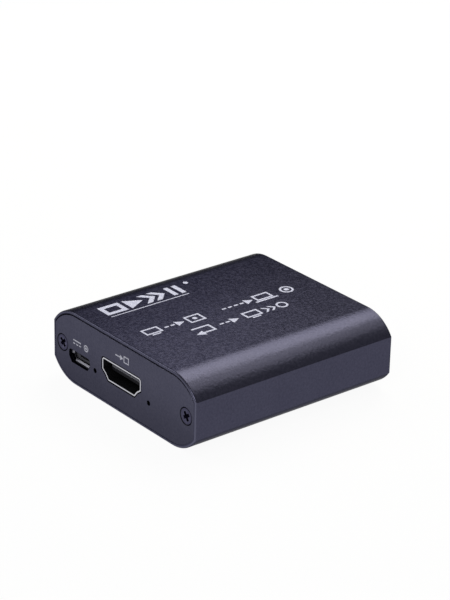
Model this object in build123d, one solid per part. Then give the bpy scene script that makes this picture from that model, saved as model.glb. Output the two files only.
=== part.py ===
from build123d import *
import math
import os

os.makedirs("parts", exist_ok=True)

# The box lies on its underside with the input plate towards -Y. Lengths are millimetres.
# The origin is the middle of the footprint, on the surface that the box stands on.

# Case: one extruded tube with rounded shoulders that end in a crease at the flat sides
case_width = 54.0
case_length = 57.4
case_height = 18.4
shoulder_run = 8.5
shoulder_drop = 4.6
wall = 0.8
rim_chamfer = 0.25

# Screw channels and board rails that run along the inside of the tube
channel_radius = 2.4
channel_mouth = 1.3
upper_rail = 0.75
lower_rail = 0.9
rail_reach = 1.3

# End plates, set flush in the mouths of the tube
plate_thickness = 1.5
plate_gap = 0.2

# Countersunk plate screws, with the land that the plate keeps beside their heads
screw_radius = 1.25
screw_length = 8.0
screw_head_radius = 1.95
screw_head_sink = 0.2
screw_fit = 0.05
screw_side_land = 0.4

# Circuit board
board_thickness = 1.6
board_fit = 0.1
board_side_gap = 0.3
board_end_gap = 0.2
board_corner = 1.0
solder_gap = 0.2
leg_below = 0.8

# Sockets in general
port_gap = 0.3
lip_recess = 0.1
insert_fit = 0.03
contact_thickness = 0.15
contact_proud = 0.04
tongue_tip = 0.25
finger_slit = 0.2
finger_low_share = 0.62
finger_end_share = 0.6

# Video sockets: type A, nineteen contacts
video_width = 14.0
video_height = 4.55
video_side = 2.5
video_waist_in = 1.2
video_waist_height = 1.15
video_floor_in = 2.15
video_square_count = 2
video_round = 0.45
video_sheet = 0.3
video_lift = 0.45
video_shell_depth = 10.8
video_foot_depth = 1.0
video_cavity = 7.6
video_tongue_side = 1.5
video_tongue_thickness = 1.3
video_tongue_drop = 1.45
video_tongue_recess = 1.3
video_pitch = 1.0
video_upper_count = 10
video_contact_width = 0.32
video_contact_inset = 0.5
video_tail = 1.0
video_row_step = 0.35
video_leg_width = 1.4
video_leg_front = 4.0
video_leg_rear_in = 1.6
video_finger_width = 1.8
video_finger_start = 2.0
video_finger_clear = 1.0
video_finger_dip = 0.45
video_finger_spread = 3.2
video_foot_inset = 0.3

# Data socket: type A, four contacts
data_width = 12.5
data_height = 5.12
data_square_count = 4
data_round = 0.3
data_sheet = 0.32
data_depth = 14.0
data_cavity = 9.4
data_tongue_side = 0.7
data_tongue_thickness = 1.84
data_tongue_drop = 0.72
data_tongue_recess = 1.0
data_contact_width = 1.0
data_contact_shares = (-1.0, -0.286, 0.286, 1.0)
data_contact_spread = 3.5
data_contact_inset = 0.9
data_tail = 0.9
data_leg_width = 2.4
data_leg_place = 9.0
data_finger_width = 1.9
data_finger_length = 5.0
data_finger_start = 1.8
data_finger_dip = 0.5
data_finger_spread = 3.1

# Power socket: micro type B, five contacts
power_width = 6.9
power_height = 1.85
power_side = 0.95
power_floor_in = 0.7
power_square_count = 2
power_round = 0.2
power_sheet = 0.3
power_recess = 0.8
power_depth = 5.4
power_lip_length = 0.7
power_lip_flare = 0.22
power_lip_notch = 0.2
power_port_gap = 0.4
power_cavity = 3.4
power_tongue_side = 1.6
power_tongue_thickness = 0.6
power_tongue_drop = 0.35
power_tongue_recess = 0.9
power_pitch = 0.65
power_count = 5
power_contact_width = 0.3
power_contact_inset = 0.3
power_tail = 0.7
power_leg_width = 1.0
power_leg_place = 3.0

# Indicator lights that stand behind the pinholes
light_width = 3.0
light_depth = 1.3
light_height = 1.9
light_setback = 0.4
light_bulge = 0.3
light_lens_width = 1.6
light_lens_height = 1.2
pinhole_radius = 0.5

# Gaps between the channels and the pieces along each plate, as shares of the free room
front_gap_shares = (0.027, 0.049, 0.096, 0.115)
rear_gap_shares = (0.22, 0.34)

# Capture chip with leads on four sides, the outer ones a margin away from its corners
capture_size = 7.0
capture_height = 1.4
capture_side_count = 12
capture_lead_width = 0.22
capture_lead_margin = 0.64
# Memory chip with leads on two sides
memory_length = 4.9
memory_width = 3.9
memory_height = 1.45
memory_side_count = 4
memory_lead_width = 0.4
memory_lead_margin = 0.345
# Leads of both chips and of the regulators
lead_thickness = 0.15
lead_slope = 0.45
lead_foot = 0.55
chip_standoff = 0.1
chip_chamfer = 0.2
chip_first_corner = 0.5
# Loop chip, which splits the picture to the loop output
loop_chip_size = 8.0
loop_chip_height = 0.85
# Voltage regulators with three leads on one side and two on the other
regulator_length = 2.9
regulator_width = 1.6
regulator_height = 1.1
regulator_lead_width = 0.4
regulator_lead_margin = 0.3
regulator_near_count = 3
regulator_far_count = 2
# Clock crystals in metal cans on a ceramic foot
crystal_length = 3.2
crystal_width = 2.5
crystal_foot = 0.35
crystal_lid = 0.4
crystal_edge = 0.2
crystal_gap = 1.0
crystal_count = 2
# Power inductors, moulded blocks with cut corners
inductor_size = 4.0
inductor_height = 2.0
inductor_corner = 0.8
# Bulk capacitors: a can on a moulded base
can_radius = 2.0
can_height = 4.6
can_bevel = 0.35
can_base_margin = 0.15
can_base_height = 0.8
can_base_corner = 0.9
# Ceramic capacitors and resistors with wrapped ends, in rows side by side
chip_part_length = 1.6
chip_part_width = 0.8
chip_part_end = 0.3
chip_part_wrap = 0.03
chip_part_gap = 0.45
chip_row_count = 4
capacitor_height = 0.8
resistor_height = 0.45
# Surge arrays between a video socket and the open field
surge_length = 2.5
surge_width = 1.0
surge_height = 0.5
surge_chamfer = 0.1
surge_gap = 0.6
surge_count = 3
# Resettable fuse behind the power socket
fuse_length = 4.5
fuse_width = 3.2
fuse_height = 0.6
fuse_end = 0.5

# Rows of pieces on the open field: columns from -X, each from the front to the rear
board_columns = (
    ("can", "inductor", "regulator", "regulator"),
    ("capacitors", "capture_chip", "crystals", "resistors"),
    ("loop_chip", "capacitors", "memory_chip"),
    ("regulator", "inductor", "capacitors", "can", "resistors"),
)

# How far a cutting solid runs past what it cuts
overrun = 1.0

# Worked out from the sizes above
shoulder_radius = (shoulder_run**2 + shoulder_drop**2) / (2 * shoulder_drop)
front_y = -case_length / 2
screw_rim = screw_head_radius + screw_fit + screw_head_sink
channel_x = case_width / 2 - wall - plate_gap - screw_side_land - screw_rim
channel_z = case_height / 2
board_top = channel_z - channel_radius - upper_rail - board_fit
board_bottom = board_top - board_thickness
board_length = case_length - 2 * (plate_thickness + board_end_gap)
board_front = plate_thickness + board_end_gap
tube_half_room = channel_x - channel_radius
video_depth = video_shell_depth + video_foot_depth
lead_reach = lead_slope + lead_foot
can_base_size = 2 * (can_radius + can_base_margin)
field_front = front_y + lip_recess + video_depth + video_tail
field_rear = case_length / 2 - lip_recess - data_depth - data_tail


# A flat outline seen from the front is given depth from one Y to another
def deepen(face, start, end):
    return extrude(Pos(0, start, 0) * face, amount=end - start, dir=(0, 1, 0))


# A block between two corners
def block(x0, x1, y0, y1, z0, z1):
    middle = Pos((x0 + x1) / 2, (y0 + y1) / 2, (z0 + z1) / 2)
    return middle * Box(abs(x1 - x0), abs(y1 - y0), abs(z1 - z0))


# Half width of the case's outline, drawn in by the inset, at a height near its foot
def half_width_at(height, inset):
    rise = shoulder_radius - height
    reach = case_width / 2 - shoulder_run + math.sqrt((shoulder_radius - inset) ** 2 - rise**2)
    return min(reach, case_width / 2 - inset)


# The case's outline, drawn in by the inset, as seen from the front
def case_outline(inset):
    radius = shoulder_radius - inset
    turn = math.asin((shoulder_run - inset) / radius)
    flat = case_width / 2 - shoulder_run
    arc_centre = case_height / 2 - shoulder_radius
    half_width = case_width / 2 - inset
    half_height = case_height / 2 - inset
    crease = arc_centre + radius * math.cos(turn)
    middle_x = flat + radius * math.sin(turn / 2)
    middle_z = arc_centre + radius * math.cos(turn / 2)
    with BuildSketch(Plane.XZ) as outline:
        with BuildLine():
            for side in (-1, 1):
                for level in (-1, 1):
                    ThreePointArc(
                        (side * flat, level * half_height),
                        (side * middle_x, level * middle_z),
                        (side * half_width, level * crease),
                    )
                Line((side * half_width, -crease), (side * half_width, crease))
            for level in (-1, 1):
                Line((-flat, level * half_height), (flat, level * half_height))
        make_face()
    return Pos(0, 0, case_height / 2) * outline.sketch


# A rectangle seen from the front, between two corners
def front_rectangle(x0, x1, z0, z1):
    middle = Pos((x0 + x1) / 2, (z0 + z1) / 2)
    return Plane.XZ * middle * Rectangle(abs(x1 - x0), abs(z1 - z0))


# Screw channels with their open slits, and the rails that hold the board, in section
def core_section():
    bore = screw_radius + screw_fit
    root = case_width / 2 - wall / 2
    rail_tip = board_half_width - rail_reach
    section = None
    for side in (-1, 1):
        middle = Plane.XZ * Pos(side * channel_x, channel_z)
        half = middle * Circle(channel_radius)
        half += front_rectangle(
            side * channel_x, side * root, channel_z - channel_radius, channel_z + channel_radius
        )
        half += front_rectangle(side * rail_tip, side * root, board_top + board_fit, channel_z)
        half -= middle * Circle(bore)
        half -= front_rectangle(
            side * channel_x,
            side * (channel_x - channel_radius - overrun),
            channel_z - channel_mouth / 2,
            channel_z + channel_mouth / 2,
        )
        half += front_rectangle(side * rail_tip, side * root, board_bottom - lower_rail, board_bottom)
        section = half if section is None else section + half
    return section & case_outline(wall / 2)


def make_case():
    end = case_length / 2
    tube = deepen(case_outline(0), -end, end)
    ends = tube.faces().filter_by(Axis.Y)
    tube = chamfer(ends.edges(), rim_chamfer)
    tube -= deepen(case_outline(wall), -end - overrun, end + overrun)
    core = deepen(core_section(), plate_thickness - end, end - plate_thickness)
    return tube + core


# A plate screw, or with extra room the hole for it, which opens out above the head: its axis
# along Y, its head face at Y zero
def screw_form(extra, above):
    shank = screw_radius + extra
    head = screw_head_radius + extra
    points = [
        (0, -above), (head + above, -above), (shank, head - shank), (shank, screw_length),
        (0, screw_length),
    ]
    return revolve(Polygon(*points, align=None), axis=Axis.Y)


# The two places of the screws on a plate; the front's are turned half round for the rear
def screw_places():
    depth = front_y + screw_head_sink
    return [Pos(side * channel_x, depth, channel_z) for side in (-1, 1)]


def plate_blank():
    plate = deepen(case_outline(wall + plate_gap), front_y, front_y + plate_thickness)
    for place in screw_places():
        plate -= place * screw_form(screw_fit, overrun)
    return plate


# Outline of a socket's opening from the points of its right half, then grown. Its square
# corners are rounded: they are its highest ones.
def socket_outline(half, square_count, rounding, grow):
    points = half + [(-x, z) for x, z in reversed(half)]
    face = Polygon(*points, align=None)
    corners = face.vertices().sort_by(Axis.Y)
    face = fillet(corners[-square_count:], rounding)
    if grow:
        face = offset(face, amount=grow, kind=Kind.INTERSECTION)
    return Plane.XZ * face


def video_outline(grow):
    floor = video_lift + video_sheet
    half = [
        (video_width / 2 - video_floor_in, floor),
        (video_width / 2 - video_waist_in, floor + video_waist_height),
        (video_width / 2, floor + video_height - video_side),
        (video_width / 2, floor + video_height),
    ]
    return socket_outline(half, video_square_count, video_round, grow)


# Legs that pass through the board, or with extra room the slots for them
def side_legs(inside, sheet, top, places, width, extra):
    legs = []
    for side in (-1, 1):
        for place in places:
            legs.append(
                block(
                    side * (inside - extra),
                    side * (inside + sheet + extra),
                    place - width / 2 - extra,
                    place + width / 2 + extra,
                    -board_thickness - leg_below - extra,
                    top,
                )
            )
    return legs


def video_legs(extra):
    top = video_lift + video_sheet + video_height - video_side / 2
    places = (video_leg_front, video_shell_depth - video_leg_rear_in)
    return side_legs(video_width / 2, video_sheet, top, places, video_leg_width, extra)


# A spring finger in the top of a shell: rooted near the lip, bent down into the opening
def spring_finger(start, length, width, sheet, top, dip):
    low = start + length * finger_low_share
    end = start + length - sheet
    points = [
        (start, top), (low, top - dip), (end, top - dip * finger_end_share),
        (end, top - dip * finger_end_share - sheet), (low, top - dip - sheet), (start, top - sheet),
    ]
    side = Plane.YZ * Polygon(*points, align=None)
    return extrude(side, amount=width / 2, both=True)


def with_fingers(shell, start, length, width, sheet, top, dip, spread):
    for side in (-1, 1):
        window = block(
            side * spread - width / 2 - finger_slit, side * spread + width / 2 + finger_slit,
            start, start + length, top - sheet - dip, top + overrun,
        )
        shell -= window
        shell += Pos(side * spread, 0, 0) * spring_finger(
            start - sheet / 2, length, width, sheet, top, dip
        )
    return shell


def video_shell():
    shell = deepen(video_outline(video_sheet), 0, video_shell_depth)
    shell -= deepen(video_outline(0), -overrun, video_shell_depth + overrun)
    for leg in video_legs(0):
        shell += leg
    top = video_lift + 2 * video_sheet + video_height
    finger_length = video_cavity - video_finger_start - video_finger_clear
    return with_fingers(
        shell, video_finger_start, finger_length, video_finger_width, video_sheet, top,
        video_finger_dip, video_finger_spread,
    )


# A contact strip seen from the side: along the tongue, out at the rear, down, over the board
def contact_strip(start, level, column, tail, width):
    thick = contact_thickness
    points = [
        (start, level), (column + thick, level), (column + thick, thick), (tail, thick),
        (tail, 0), (column, 0), (column, level - thick), (start, level - thick),
    ]
    side = Plane.YZ * Polygon(*points, align=None)
    return extrude(side, amount=width / 2, both=True)


def video_contacts():
    top = video_lift + video_sheet + video_height - video_tongue_drop
    start = video_tongue_recess + video_contact_inset
    tail = video_depth + video_tail
    under = top - video_tongue_thickness - contact_proud + contact_thickness
    rows = (
        (video_upper_count, top + contact_proud, video_depth + video_row_step),
        (video_upper_count - 1, under, video_depth),
    )
    contacts = []
    for count, level, column in rows:
        strip = contact_strip(start, level, column, tail, video_contact_width)
        contacts += [Pos(step, 0, 0) * strip for step in steps(count, video_pitch)]
    return contacts


def video_insulator():
    floor = video_lift + video_sheet
    top = floor + video_height - video_tongue_drop
    body = deepen(video_outline(-insert_fit), video_cavity, video_shell_depth)
    half = video_width / 2 - video_foot_inset
    body += block(-half, half, video_shell_depth, video_depth, 0, floor + video_height)
    half_tongue = video_width / 2 - video_tongue_side
    tongue = block(
        -half_tongue, half_tongue, video_tongue_recess,
        video_cavity, top - video_tongue_thickness, top,
    )
    tip = tongue.faces().sort_by(Axis.Y)[0]
    body += chamfer(tip.edges(), tongue_tip)
    return cut_with(body, video_contacts())


def cut_with(body, tools):
    for tool in tools:
        body -= tool
    return body


def data_outline(grow):
    half = [
        (data_width / 2, data_sheet),
        (data_width / 2, data_sheet + data_height),
    ]
    return socket_outline(half, data_square_count, data_round, grow)


def data_legs(extra):
    top = data_sheet + data_height / 2
    return side_legs(data_width / 2, data_sheet, top, (data_leg_place,), data_leg_width, extra)


def data_shell():
    shell = deepen(data_outline(data_sheet), 0, data_depth)
    shell -= deepen(data_outline(0), -overrun, data_depth + overrun)
    for leg in data_legs(0):
        shell += leg
    top = 2 * data_sheet + data_height
    return with_fingers(
        shell, data_finger_start, data_finger_length, data_finger_width, data_sheet, top,
        data_finger_dip, data_finger_spread,
    )


def data_contacts():
    under = data_sheet + data_height - data_tongue_drop - data_tongue_thickness
    level = under - contact_proud + contact_thickness
    start = data_tongue_recess + data_contact_inset
    strip = contact_strip(start, level, data_depth, data_depth + data_tail, data_contact_width)
    return [Pos(share * data_contact_spread, 0, 0) * strip for share in data_contact_shares]


def data_insulator():
    top = data_sheet + data_height - data_tongue_drop
    body = deepen(data_outline(-insert_fit), data_cavity, data_depth)
    half_tongue = data_width / 2 - data_tongue_side
    tongue = block(
        -half_tongue, half_tongue, data_tongue_recess,
        data_cavity, top - data_tongue_thickness, top,
    )
    tip = tongue.faces().sort_by(Axis.Y)[0]
    body += chamfer(tip.edges(), tongue_tip)
    return cut_with(body, data_contacts())


def power_outline(grow):
    half = [
        (power_width / 2 - power_floor_in, power_sheet),
        (power_width / 2, power_sheet + power_height - power_side),
        (power_width / 2, power_sheet + power_height),
    ]
    return socket_outline(half, power_square_count, power_round, grow)


def power_legs(extra):
    top = power_sheet + power_height - power_side / 2
    return side_legs(power_width / 2, power_sheet, top, (power_leg_place,), power_leg_width, extra)


# The lip opens outwards: the outline grows by the flare on its way to the front
def flared_lip(grow):
    behind = Pos(0, power_lip_length, 0) * power_outline(grow)
    before = power_outline(grow + power_lip_flare)
    return loft([before.face(), behind.face()])


# Room at the corners that parts the flared lip into one flap on each side of the opening
def lip_notches():
    inner = power_width / 2 - power_lip_notch
    outer = power_width / 2 + overrun
    waist = power_sheet + power_height - power_side + power_lip_notch
    roof = power_sheet + power_height - power_lip_notch
    notches = []
    for side in (-1, 1):
        for start, low, high in (
            (inner - power_floor_in, -overrun, waist), (inner, roof, roof + overrun)
        ):
            notches.append(block(side * start, side * outer, -overrun, power_lip_length, low, high))
    return notches


def power_shell():
    tube = deepen(power_outline(power_sheet), power_lip_length, power_depth)
    tube += cut_with(flared_lip(power_sheet) - flared_lip(0), lip_notches())
    tube -= deepen(power_outline(0), power_lip_length, power_depth + overrun)
    for leg in power_legs(0):
        tube += leg
    return tube


def power_contacts():
    top = power_sheet + power_height - power_tongue_drop
    level = top - power_tongue_thickness - contact_proud + contact_thickness
    start = power_tongue_recess + power_contact_inset
    strip = contact_strip(
        start, level, power_depth, power_depth + power_tail, power_contact_width
    )
    return [Pos(step, 0, 0) * strip for step in steps(power_count, power_pitch)]


def power_insulator():
    top = power_sheet + power_height - power_tongue_drop
    body = deepen(power_outline(-insert_fit), power_cavity, power_depth)
    half_tongue = power_width / 2 - power_tongue_side
    body += block(
        -half_tongue, half_tongue, power_tongue_recess,
        power_cavity, top - power_tongue_thickness, top,
    )
    return cut_with(body, power_contacts())


# Places of the pieces along a plate, from -X, with the free room shared out between them
def along_plate(widths, gap_shares):
    free = 2 * tube_half_room - sum(widths)
    edge = -tube_half_room
    places = []
    for width, share in zip(widths, gap_shares):
        edge += free * share
        places.append(edge + width / 2)
        edge += width
    return places


video_outside = video_width + 2 * video_sheet
data_outside = data_width + 2 * data_sheet
power_outside = power_width + 2 * (power_sheet + power_lip_flare)
board_half_width = half_width_at(board_bottom, wall) - board_side_gap
front_widths = (power_outside, light_width, video_outside, light_width)
power_x, left_light_x, video_in_x, right_light_x = along_plate(front_widths, front_gap_shares)
loop_out_x, data_x = along_plate((video_outside, data_outside), rear_gap_shares)

half_turn = Rot(0, 0, 180)
video_in_place = Pos(video_in_x, front_y + lip_recess, board_top)
power_place = Pos(power_x, front_y + power_recess, board_top)
loop_out_place = Pos(loop_out_x, -front_y - lip_recess, board_top) * half_turn
data_place = Pos(data_x, -front_y - lip_recess, board_top) * half_turn
light_front = front_y + board_front + light_setback
light_places = [Pos(x, light_front, board_top) for x in (left_light_x, right_light_x)]


def make_front_plate():
    plate = plate_blank()
    back = plate_thickness + overrun
    video_hole = deepen(video_outline(video_sheet + port_gap), -overrun, back)
    power_hole = deepen(power_outline(power_sheet + power_port_gap), -back, back)
    plate -= video_in_place * video_hole
    plate -= power_place * power_hole
    for x in (left_light_x, right_light_x):
        hole = Rot(90, 0, 0) * Cylinder(pinhole_radius, 2 * back)
        plate -= Pos(x, front_y, board_top + light_height / 2) * hole
    return plate


def make_rear_plate():
    plate = half_turn * plate_blank()
    back = plate_thickness + overrun
    video_hole = deepen(video_outline(video_sheet + port_gap), -overrun, back)
    data_hole = deepen(data_outline(data_sheet + port_gap), -overrun, back)
    plate -= loop_out_place * video_hole
    plate -= data_place * data_hole
    return plate


def make_screws():
    return [place * screw_form(0, 0) for place in screw_places()]


def make_board():
    face = Rectangle(2 * board_half_width, board_length)
    face = fillet(face.vertices(), board_corner)
    board = extrude(Pos(0, 0, board_bottom) * face, amount=board_thickness)
    for place in (video_in_place, loop_out_place):
        for slot in video_legs(solder_gap):
            board -= place * slot
    for slot in power_legs(solder_gap):
        board -= power_place * slot
    for slot in data_legs(solder_gap):
        board -= data_place * slot
    return board


# The middles of pieces in line from one end to the other, with equal gaps between them
def spread(sizes, start, end):
    gap = (end - start - sum(sizes)) / (len(sizes) + 1)
    edge = start
    middles = []
    for size in sizes:
        middles.append(edge + gap + size / 2)
        edge += gap + size
    return middles


# Steps to each side for a row of pieces with one pitch
def steps(count, pitch):
    return [(index - (count - 1) / 2) * pitch for index in range(count)]


# A row on the board: its width and length, and the steps to the pieces side by side in it
def row_of(width, length, count=1, gap=0):
    return (count * (width + gap) - gap, length, steps(count, width + gap))


chip_part_across = chip_part_width + 2 * chip_part_wrap
capture_span = capture_size + 2 * lead_reach
chip_part_row = row_of(chip_part_across, chip_part_length, chip_row_count, chip_part_gap)
board_rows = {
    "can": row_of(can_base_size, can_base_size),
    "inductor": row_of(inductor_size, inductor_size),
    "regulator": row_of(regulator_length, regulator_width + 2 * lead_reach),
    "capture_chip": row_of(capture_span, capture_span),
    "loop_chip": row_of(loop_chip_size, loop_chip_size),
    "memory_chip": row_of(memory_length, memory_width + 2 * lead_reach),
    "crystals": row_of(crystal_width, crystal_length, crystal_count, crystal_gap),
    "capacitors": chip_part_row,
    "resistors": chip_part_row,
}


# The places of all pieces of one kind on the open field
def field_places(wanted):
    start = field_front + surge_width + surge_gap
    end = field_rear - surge_width - surge_gap
    widths = [max(board_rows[kind][0] for kind in column) for column in board_columns]
    columns = spread(widths, -tube_half_room, tube_half_room)
    places = []
    for x, column in zip(columns, board_columns):
        rows = spread([board_rows[kind][1] for kind in column], start, end)
        for y, kind in zip(rows, column):
            if kind == wanted:
                places += [Pos(x + step, y, board_top) for step in board_rows[kind][2]]
    return places


# One shape repeated at all the places of its kind
def on_field(kind, shape):
    return [place * shape for place in field_places(kind)]


# A flat package with a chamfered top and one cut corner at its first lead
def package(length, width, height, standoff):
    face = Rectangle(length, width)
    first = face.vertices().sort_by(Axis.X)[:2].sort_by(Axis.Y)[0]
    body = extrude(chamfer(first, chip_first_corner), amount=height - standoff)
    body = chamfer(body.faces().sort_by(Axis.Z)[-1].edges(), chip_chamfer)
    return Pos(0, 0, standoff) * body


# A row of bent leads along one side of a package: they leave it towards -Y
def lead_row(count, side_length, margin, width, level):
    thick = lead_thickness
    points = [
        (0, level), (-lead_slope, thick), (-lead_reach, thick), (-lead_reach, 0),
        (thick - lead_slope, 0), (0, level - thick),
    ]
    side = Plane.YZ * Polygon(*points, align=None)
    lead = extrude(side, amount=width / 2, both=True)
    pitch = (side_length - 2 * margin - width) / (count - 1)
    return [Pos(step, 0, 0) * lead for step in steps(count, pitch)]


# Rows of leads set round a package, each row with its turn
def leads_round(kind, rows, half_width):
    leads = []
    for place in field_places(kind):
        for turn, row in rows:
            turned = place * Rot(0, 0, turn) * Pos(0, -half_width, 0)
            leads += [turned * lead for lead in row]
    return leads


def make_capture_chip():
    body = package(capture_size, capture_size, capture_height, chip_standoff)
    return on_field("capture_chip", body)


def make_capture_leads():
    row = lead_row(
        capture_side_count, capture_size, capture_lead_margin, capture_lead_width,
        capture_height / 2,
    )
    rows = [(quarter * 90, row) for quarter in range(4)]
    return leads_round("capture_chip", rows, capture_size / 2)


def make_memory_chip():
    body = package(memory_length, memory_width, memory_height, chip_standoff)
    return on_field("memory_chip", body)


def make_memory_leads():
    row = lead_row(
        memory_side_count, memory_length, memory_lead_margin, memory_lead_width,
        memory_height / 2,
    )
    return leads_round("memory_chip", [(0, row), (180, row)], memory_width / 2)


def make_loop_chip():
    return on_field("loop_chip", package(loop_chip_size, loop_chip_size, loop_chip_height, 0))


def make_regulators():
    body = Box(regulator_length, regulator_width, regulator_height - chip_standoff)
    body = chamfer(body.faces().sort_by(Axis.Z)[-1].edges(), chip_chamfer)
    return on_field("regulator", Pos(0, 0, (chip_standoff + regulator_height) / 2) * body)


def make_regulator_leads():
    rows = []
    for turn, count in ((0, regulator_near_count), (180, regulator_far_count)):
        row = lead_row(
            count, regulator_length, regulator_lead_margin, regulator_lead_width,
            regulator_height / 2,
        )
        rows.append((turn, row))
    return leads_round("regulator", rows, regulator_width / 2)


def make_crystals():
    foot = Pos(0, 0, crystal_foot / 2) * Box(crystal_width, crystal_length, crystal_foot)
    lid = Pos(0, 0, crystal_foot + crystal_lid / 2) * Box(
        crystal_width - 2 * crystal_edge, crystal_length - 2 * crystal_edge, crystal_lid
    )
    lid = chamfer(lid.faces().sort_by(Axis.Z)[-1].edges(), crystal_edge / 2)
    return on_field("crystals", foot + lid)


def make_inductors():
    face = Rectangle(inductor_size, inductor_size)
    body = extrude(chamfer(face.vertices(), inductor_corner), amount=inductor_height)
    return on_field("inductor", body)


def make_can_bases():
    face = Rectangle(can_base_size, can_base_size)
    corners = face.vertices().sort_by(Axis.X)[-2:]
    return on_field("can", extrude(chamfer(corners, can_base_corner), amount=can_base_height))


def make_cans():
    can = Pos(0, 0, can_base_height + can_height / 2) * Cylinder(can_radius, can_height)
    return on_field("can", chamfer(can.faces().sort_by(Axis.Z)[-1].edges(), can_bevel))


# A small part with a plain middle and metal ends that wrap round it
def wrapped_part(length, width, height, end):
    body = Pos(0, 0, height / 2) * Box(length, width, height - 2 * chip_part_wrap)
    for side in (-1, 1):
        cap = Box(end, width + 2 * chip_part_wrap, height)
        body += Pos(side * (length - end) / 2, 0, height / 2) * cap
    return body


def make_capacitors():
    part = wrapped_part(chip_part_length, chip_part_width, capacitor_height, chip_part_end)
    return on_field("capacitors", Rot(0, 0, 90) * part)


def make_resistors():
    part = wrapped_part(chip_part_length, chip_part_width, resistor_height, chip_part_end)
    return on_field("resistors", Rot(0, 0, 90) * part)


# A row of surge arrays at the edge of the open field, in line with each video socket
def make_surge_arrays():
    part = Pos(0, 0, surge_height / 2) * Box(surge_length, surge_width, surge_height)
    part = chamfer(part.faces().sort_by(Axis.Z)[-1].edges(), surge_chamfer)
    front_row = field_front + surge_width / 2
    rear_row = field_rear - surge_width / 2
    arrays = []
    for x, y in ((video_in_x, front_row), (loop_out_x, rear_row)):
        for step in steps(surge_count, surge_length + surge_gap):
            arrays.append(Pos(x + step, y, board_top) * part)
    return arrays


# The fuse lies midway between the power socket's tails and the open field
def make_fuse():
    tails = front_y + power_recess + power_depth + power_tail
    part = wrapped_part(fuse_length, fuse_width, fuse_height, fuse_end)
    return Pos(power_x, (tails + field_front) / 2, board_top) * part


def light_lens():
    bulge = Plane.XY * Ellipse(light_lens_width / 2, light_bulge)
    bulge -= Pos(0, light_bulge) * Rectangle(2 * light_lens_width, 2 * light_bulge)
    low = (light_height - light_lens_height) / 2
    return extrude(Pos(0, 0, low) * bulge, amount=light_lens_height)


def make_light_bodies():
    body = block(-light_width / 2, light_width / 2, 0, light_depth, 0, light_height)
    back = body.faces().sort_by(Axis.Y)[-1]
    body = chamfer(back.edges(), light_bulge)
    return [place * body for place in light_places]


def make_lenses():
    lens = light_lens()
    return [place * lens for place in light_places]


def placed(place, shapes):
    return [place * shape for shape in shapes]


nodes = {
    "case_tube": make_case(),
    "front_plate": make_front_plate(),
    "rear_plate": make_rear_plate(),
    "front_plate_screws": make_screws(),
    "rear_plate_screws": placed(half_turn, make_screws()),
    "circuit_board": make_board(),
    "video_in_shell": video_in_place * video_shell(),
    "video_in_insulator": video_in_place * video_insulator(),
    "video_in_contacts": placed(video_in_place, video_contacts()),
    "loop_out_shell": loop_out_place * video_shell(),
    "loop_out_insulator": loop_out_place * video_insulator(),
    "loop_out_contacts": placed(loop_out_place, video_contacts()),
    "data_socket_shell": data_place * data_shell(),
    "data_socket_insulator": data_place * data_insulator(),
    "data_socket_contacts": placed(data_place, data_contacts()),
    "power_socket_shell": power_place * power_shell(),
    "power_socket_insulator": power_place * power_insulator(),
    "power_socket_contacts": placed(power_place, power_contacts()),
    "indicator_light_bodies": make_light_bodies(),
    "indicator_light_lenses": make_lenses(),
    "capture_chip": make_capture_chip(),
    "capture_chip_leads": make_capture_leads(),
    "loop_chip": make_loop_chip(),
    "memory_chip": make_memory_chip(),
    "memory_chip_leads": make_memory_leads(),
    "voltage_regulators": make_regulators(),
    "regulator_leads": make_regulator_leads(),
    "clock_crystals": make_crystals(),
    "power_inductors": make_inductors(),
    "bulk_capacitor_bases": make_can_bases(),
    "bulk_capacitor_cans": make_cans(),
    "ceramic_capacitors": make_capacitors(),
    "chip_resistors": make_resistors(),
    "surge_arrays": make_surge_arrays(),
    "resettable_fuse": make_fuse(),
}

for name, shape in nodes.items():
    solids = shape if isinstance(shape, list) else [shape]
    loose = [solid for item in solids for solid in item.solids()]
    whole = loose[0] if len(loose) == 1 else Compound(loose)
    whole.label = name
    export_step(whole, f"parts/{name}.step")
    print(name, len(loose))
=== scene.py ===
import math

import bmesh
import bpy
from mathutils import Matrix, Vector


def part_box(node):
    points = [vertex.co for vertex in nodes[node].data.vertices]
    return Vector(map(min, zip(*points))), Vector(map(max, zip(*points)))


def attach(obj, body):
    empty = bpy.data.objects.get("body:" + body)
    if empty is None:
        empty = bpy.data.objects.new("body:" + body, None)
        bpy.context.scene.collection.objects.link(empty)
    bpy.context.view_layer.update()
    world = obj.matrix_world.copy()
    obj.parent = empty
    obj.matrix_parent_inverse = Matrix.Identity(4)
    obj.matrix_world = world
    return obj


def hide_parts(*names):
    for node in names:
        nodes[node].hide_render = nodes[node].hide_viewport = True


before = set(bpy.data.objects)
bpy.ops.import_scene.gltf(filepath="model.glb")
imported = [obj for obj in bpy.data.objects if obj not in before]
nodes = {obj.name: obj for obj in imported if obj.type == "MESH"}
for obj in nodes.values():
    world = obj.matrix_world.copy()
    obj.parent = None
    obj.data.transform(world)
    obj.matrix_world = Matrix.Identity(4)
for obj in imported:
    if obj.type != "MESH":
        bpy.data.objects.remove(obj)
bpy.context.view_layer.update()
bpy.ops.object.select_all(action="DESELECT")
print("frame loaded:", len(nodes), "nodes")


# Shaders: a wire is one socket, and sums on wires add their Math nodes

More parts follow.
